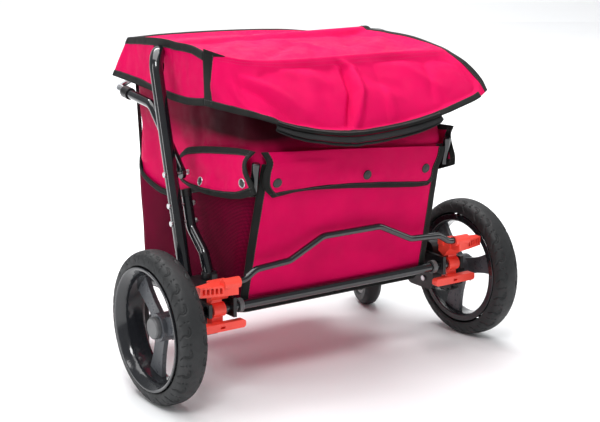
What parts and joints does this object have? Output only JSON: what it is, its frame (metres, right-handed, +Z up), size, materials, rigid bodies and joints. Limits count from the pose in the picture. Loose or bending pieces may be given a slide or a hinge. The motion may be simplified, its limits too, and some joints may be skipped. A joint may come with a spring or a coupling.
{
  "type": "shopping cart with fabric bag",
  "caption": "Folding-style cart: lidded fabric bag on a black tube frame, large spoked wheels with foot brake, swivel casters and a sliding pull handle.",
  "frame": {"origin": "on the ground, under the middle of the whole cart", "axes": "+Z up, +X from the left wheel to the right wheel, +Y from the large wheels towards the casters and the pull handle"},
  "size_m": [0.693, 0.505, 0.566],
  "materials": {
    "eva_tyre": "dull moulded EVA foam",
    "gloss_black_plastic": "gloss moulded plastic",
    "black_tube": "gloss black powder-coated steel tube",
    "red_plastic": "satin moulded plastic",
    "pink_fabric": "coated woven polyester",
    "mesh_fabric": "open mesh over coated polyester",
    "chrome_tube": "chromed steel tube",
    "foam_grip": "closed-cell foam",
    "black_plastic": "satin moulded plastic",
    "steel": "zinc-plated steel"
  },
  "bodies": {
    "chassis": {"main_hoop": "black_tube", "left_lower_leg": "black_tube", "right_lower_leg": "black_tube", "leg_plugs": "black_plastic", "left_side_rail": "black_tube", "right_side_rail": "black_tube", "caster_sockets": "black_tube", "rear_cross_tube": "black_tube", "front_cross_tube": "black_tube", "left_axle_housing": "black_plastic", "right_axle_housing": "black_plastic", "leg_clamps": "black_plastic", "frame_bolts": "steel", "tube_bushes": "black_plastic", "housing_screws": "steel", "corner_posts": "black_tube", "left_stub_axle": "steel", "right_stub_axle": "steel", "axle_nuts": "steel", "bag_shell": "pink_fabric", "bag_floor": "black_plastic", "front_pocket": "pink_fabric", "left_side_pocket": "mesh_fabric", "right_side_pocket": "mesh_fabric", "left_side_pocket_flap": "pink_fabric", "right_side_pocket_flap": "pink_fabric"},
    "front_flap": {"front_pocket_flap": "pink_fabric", "front_flap_snaps": "black_plastic"},
    "lid": {"lid": "pink_fabric"},
    "brake": {"left_brake_lever": "red_plastic", "right_brake_lever": "red_plastic", "left_brake_pin": "steel", "right_brake_pin": "steel", "brake_bar": "black_tube"},
    "pull_handle": {"left_handle_arm": "black_tube", "right_handle_arm": "black_tube", "handle_collars": "black_plastic"},
    "handle_slider": {"handle_bar": "chrome_tube", "handle_grip": "foam_grip"},
    "left_wheel": {"left_tyre": "eva_tyre", "left_rim": "gloss_black_plastic", "left_spokes": "black_plastic", "left_brake_drum": "black_plastic", "left_wheel_bearings": "steel", "left_hub_cap": "gloss_black_plastic"},
    "left_caster_swivel": {"left_caster_fork": "black_plastic", "left_caster_axle": "steel"},
    "left_caster_wheel": {"left_caster_tyre": "eva_tyre", "left_caster_hub": "gloss_black_plastic"},
    "right_wheel": {"right_tyre": "eva_tyre", "right_rim": "gloss_black_plastic", "right_spokes": "black_plastic", "right_brake_drum": "black_plastic", "right_wheel_bearings": "steel", "right_hub_cap": "gloss_black_plastic"},
    "right_caster_swivel": {"right_caster_fork": "black_plastic", "right_caster_axle": "steel"},
    "right_caster_wheel": {"right_caster_tyre": "eva_tyre", "right_caster_hub": "gloss_black_plastic"}
  },
  "joints": [
    {"name": "left_wheel_spin", "type": "hinge", "parent": "chassis", "child": "left_wheel", "pos_m": [-0.32, -0.1275, 0.125], "axis": [1, 0, 0], "continuous": true},
    {"name": "right_wheel_spin", "type": "hinge", "parent": "chassis", "child": "right_wheel", "pos_m": [0.32, -0.1275, 0.125], "axis": [1, 0, 0], "continuous": true},
    {"name": "left_caster_turn", "type": "hinge", "parent": "chassis", "child": "left_caster_swivel", "pos_m": [-0.256, 0.0605, 0.15], "axis": [0, 0, 1], "range_deg": [-81, 144]},
    {"name": "right_caster_turn", "type": "hinge", "parent": "chassis", "child": "right_caster_swivel", "pos_m": [0.256, 0.0605, 0.15], "axis": [0, 0, 1], "range_deg": [-95, 130]},
    {"name": "left_caster_spin", "type": "hinge", "parent": "left_caster_swivel", "child": "left_caster_wheel", "pos_m": [-0.22691, 0.11298, 0.062], "axis": [0.8746, -0.4848, 0], "continuous": true},
    {"name": "right_caster_spin", "type": "hinge", "parent": "right_caster_swivel", "child": "right_caster_wheel", "pos_m": [0.27652, 0.11688, 0.062], "axis": [0.9397, -0.342, 0], "continuous": true},
    {"name": "brake_press", "type": "hinge", "parent": "chassis", "child": "brake", "pos_m": [0, -0.1775, 0.154], "axis": [1, 0, 0], "range_deg": [0, 15]},
    {"name": "lid_open", "type": "hinge", "parent": "chassis", "child": "lid", "pos_m": [0, 0.1905, 0.54], "axis": [-1, 0, 0], "range_deg": [0, 100]},
    {"name": "front_flap_lift", "type": "hinge", "parent": "chassis", "child": "front_flap", "pos_m": [0, -0.2217, 0.3815], "axis": [-0.9991, 0, 0.0436], "range_deg": [0, 110]},
    {"name": "handle_tilt", "type": "hinge", "parent": "chassis", "child": "pull_handle", "pos_m": [0, -0.0425, 0.35], "axis": [-1, 0, 0], "range_deg": [0, 40]},
    {"name": "handle_slide", "type": "slide", "parent": "pull_handle", "child": "handle_slider", "axis": [0, 0.9947, 0.1025], "range_m": [0, 0.045]}
  ]
}
